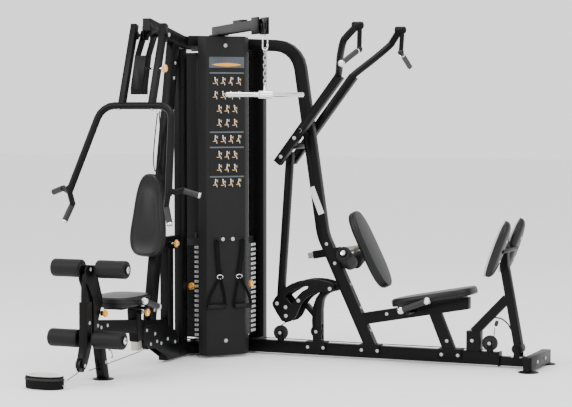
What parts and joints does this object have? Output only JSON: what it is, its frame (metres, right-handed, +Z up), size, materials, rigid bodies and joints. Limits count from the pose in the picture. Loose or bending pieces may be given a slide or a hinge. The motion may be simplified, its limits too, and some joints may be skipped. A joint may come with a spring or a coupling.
{
  "type": "multi station home gym",
  "caption": "Corner-tower home gym with two weight stacks, a press, leg curl and pulldown station and a seated row and leg press station on floor beams.",
  "frame": {"origin": "on the floor, under the centre of the tower's corner post", "axes": "+X along the row and leg press beam, -Y along the press station, +Z up"},
  "size_m": [2.6805, 2.4259, 2.045],
  "materials": {
    "frame": "satin black powder coat",
    "shroud": "textured charcoal powder coat",
    "vinyl": "soft black upholstery vinyl",
    "foam": "black closed-cell foam",
    "chrome": "polished",
    "steel": "nickel plated",
    "iron": "dark grey paint",
    "knob": "yellow gloss",
    "pulley": "black nylon",
    "web": "black woven webbing"
  },
  "bodies": {
    "frame": {"right_beam": "frame", "end_base": "frame", "left_base_beam": "frame", "corner_post": "frame", "right_post": "frame", "left_post": "frame", "left_beam": "frame", "left_front_post": "frame", "left_gusset": "frame", "knee_tower": "frame", "left_upright": "frame", "left_rear_post": "frame", "left_top_arm": "frame", "right_upright": "frame", "row_post": "frame", "seat_rail": "frame", "row_seat": "vinyl", "boom": "frame", "shroud": "shroud", "left_guide_rods": "chrome", "right_guide_rods": "chrome", "left_rest_plates": "iron", "right_rest_plates": "iron"},
    "left_stack": {"left_lift_plates": "iron"},
    "right_stack": {"right_lift_plates": "iron"},
    "left_selector": {"left_select_pin": "knob"},
    "right_selector": {"right_select_pin": "knob"},
    "press": {"press_arm": "frame", "press_carriage": "frame"},
    "press_catch": {"press_pin": "knob"},
    "leg_curl": {"leg_lever": "frame"},
    "hook_wheel": {"hook_pulley": "pulley"},
    "backrest": {"press_back": "vinyl"},
    "backrest_catch": {"press_back_pin": "knob"},
    "seat": {"press_seat": "vinyl", "press_seat_post": "steel"},
    "seat_catch": {"press_seat_pin": "knob"},
    "lat": {"lat_arms": "frame"},
    "connecting_rod": {"push_rod": "frame"},
    "cam": {"cam_lever": "frame"},
    "chest": {"chest_pad": "vinyl", "chest_slide": "steel"},
    "leg_press": {"foot_lever": "frame", "foot_plate_near": "pulley", "foot_plate_far": "pulley"},
    "hanging_bar": {"lat_bar": "chrome"},
    "near_handle": {"strap_near": "web"},
    "far_handle": {"strap_far": "web"},
    "cuff": {"ankle_cuff": "web"},
    "row_wheel": {"row_pulley": "pulley"},
    "press_wheel": {"press_pulley": "pulley"},
    "post_wheel": {"post_pulley": "pulley"},
    "low_wheel": {"low_pulley": "pulley"},
    "boom_wheel": {"boom_pulley": "pulley"},
    "upper_left_roll": {"upper_roller_left": "foam"},
    "upper_right_roll": {"upper_roller_right": "foam"},
    "lower_left_roll": {"lower_roller_left": "foam"},
    "lower_right_roll": {"lower_roller_right": "foam"},
    "row_near_roll": {"row_roller_near": "foam"},
    "row_far_roll": {"row_roller_far": "foam"}
  },
  "joints": [
    {"name": "left_stack_lift", "type": "slide", "parent": "frame", "child": "left_stack", "axis": [0, 0, 1], "range_m": [0, 0.9]},
    {"name": "right_stack_lift", "type": "slide", "parent": "frame", "child": "right_stack", "axis": [0, 0, 1], "range_m": [0, 0.9]},
    {"name": "left_pin_pull", "type": "slide", "parent": "left_stack", "child": "left_selector", "axis": [0, -1, 0], "range_m": [0, 0.09]},
    {"name": "right_pin_pull", "type": "slide", "parent": "right_stack", "child": "right_selector", "axis": [1, 0, 0], "range_m": [0, 0.09]},
    {"name": "press_swing", "type": "hinge", "parent": "frame", "child": "press", "pos_m": [0, -0.756, 1.947], "axis": [1, 0, 0], "range_deg": [-50, 0]},
    {"name": "press_pin_pull", "type": "slide", "parent": "press", "child": "press_catch", "axis": [1, 0, 0], "range_m": [0, 0.015], "stiffness_N_per_m": 400, "springref_m": -0.01},
    {"name": "leg_curl_swing", "type": "hinge", "parent": "frame", "child": "leg_curl", "pos_m": [0, -1.535, 0.6], "axis": [1, 0, 0], "range_deg": [-85, 0]},
    {"name": "hook_wheel_spin", "type": "hinge", "parent": "leg_curl", "child": "hook_wheel", "pos_m": [0, -1.591, 0.11], "axis": [1, 0, 0], "continuous": true},
    {"name": "upper_left_roll_spin", "type": "hinge", "parent": "frame", "child": "upper_left_roll", "pos_m": [0, -1.479, 0.635], "axis": [1, 0, 0], "continuous": true},
    {"name": "upper_right_roll_spin", "type": "hinge", "parent": "frame", "child": "upper_right_roll", "pos_m": [0, -1.479, 0.635], "axis": [1, 0, 0], "continuous": true},
    {"name": "lower_left_roll_spin", "type": "hinge", "parent": "leg_curl", "child": "lower_left_roll", "pos_m": [0, -1.519, 0.249], "axis": [1, 0, 0], "continuous": true},
    {"name": "lower_right_roll_spin", "type": "hinge", "parent": "leg_curl", "child": "lower_right_roll", "pos_m": [0, -1.519, 0.249], "axis": [1, 0, 0], "continuous": true},
    {"name": "backrest_slide", "type": "slide", "parent": "frame", "child": "backrest", "axis": [0, -1, 0], "range_m": [0, 0.08]},
    {"name": "backrest_pin_pull", "type": "slide", "parent": "frame", "child": "backrest_catch", "axis": [1, 0, 0], "range_m": [0, 0.015], "stiffness_N_per_m": 400, "springref_m": -0.01},
    {"name": "seat_lift", "type": "slide", "parent": "frame", "child": "seat", "axis": [0, -0.1331, 0.9911], "range_m": [0, 0.1]},
    {"name": "seat_pin_pull", "type": "slide", "parent": "frame", "child": "seat_catch", "axis": [1, 0, 0], "range_m": [0, 0.015], "stiffness_N_per_m": 400, "springref_m": -0.01},
    {"name": "lat_swing", "type": "hinge", "parent": "frame", "child": "lat", "pos_m": [0.7, 0, 1.385], "axis": [0, 1, 0], "range_deg": [0, 50], "stiffness_Nm_per_rad": 90, "springref_deg": -57.3},
    {"name": "connecting_rod_swing", "type": "hinge", "parent": "lat", "child": "connecting_rod", "pos_m": [0.578, 0, 1.226], "axis": [0, 1, 0], "range_deg": [-55, 0]},
    {"name": "cam_swing", "type": "hinge", "parent": "frame", "child": "cam", "pos_m": [0.863, 0, 0.425], "axis": [0, 1, 0], "range_deg": [0, 23]},
    {"name": "chest_pad_slide", "type": "slide", "parent": "frame", "child": "chest", "axis": [0.9848, 0, 0.1736], "range_m": [0, 0.06]},
    {"name": "leg_press_swing", "type": "hinge", "parent": "frame", "child": "leg_press", "pos_m": [2.03, 0, 0.115], "axis": [0, 1, 0], "range_deg": [0, 30]},
    {"name": "hanging_bar_pull", "type": "slide", "parent": "frame", "child": "hanging_bar", "axis": [0, 0, -1], "range_m": [0, 0.9], "stiffness_N_per_m": 60, "springref_m": -0.9},
    {"name": "near_handle_swing", "type": "hinge", "parent": "frame", "child": "near_handle", "pos_m": [0.23122, -0.32032, 0.722], "axis": [0.7071, 0.7071, 0], "range_deg": [-35, 0]},
    {"name": "far_handle_swing", "type": "hinge", "parent": "frame", "child": "far_handle", "pos_m": [0.35002, -0.20153, 0.723], "axis": [0.7071, 0.7071, 0], "range_deg": [-35, 0]},
    {"name": "cuff_pull", "type": "slide", "parent": "frame", "child": "cuff", "axis": [0, -1, 0], "range_m": [0, 0.5]},
    {"name": "row_wheel_spin", "type": "hinge", "parent": "frame", "child": "row_wheel", "pos_m": [0.516, 0, 0.135], "axis": [0, 1, 0], "continuous": true},
    {"name": "press_wheel_spin", "type": "hinge", "parent": "frame", "child": "press_wheel", "pos_m": [1.856, 0, 0.137], "axis": [0, 1, 0], "continuous": true},
    {"name": "post_wheel_spin", "type": "hinge", "parent": "frame", "child": "post_wheel", "pos_m": [0.758, 0, 0.154], "axis": [0, 1, 0], "continuous": true},
    {"name": "low_wheel_spin", "type": "hinge", "parent": "frame", "child": "low_wheel", "pos_m": [0, -0.812, 0.136], "axis": [1, 0, 0], "continuous": true},
    {"name": "boom_wheel_spin", "type": "hinge", "parent": "frame", "child": "boom_wheel", "pos_m": [0.69579, -0.69579, 1.99], "axis": [0.7071, 0.7071, 0], "continuous": true},
    {"name": "row_near_roll_spin", "type": "hinge", "parent": "frame", "child": "row_near_roll", "pos_m": [0.9857, 0, 0.5686], "axis": [0.0764, -0.9115, 0.4042], "continuous": true},
    {"name": "row_far_roll_spin", "type": "hinge", "parent": "frame", "child": "row_far_roll", "pos_m": [0.9857, 0, 0.5686], "axis": [0.0764, 0.9115, 0.4042], "continuous": true}
  ],
  "couplings": [
    {"joint": "connecting_rod_swing", "follows": "lat_swing", "ratio": -1.095},
    {"joint": "cam_swing", "follows": "lat_swing", "ratio": 0.455}
  ]
}
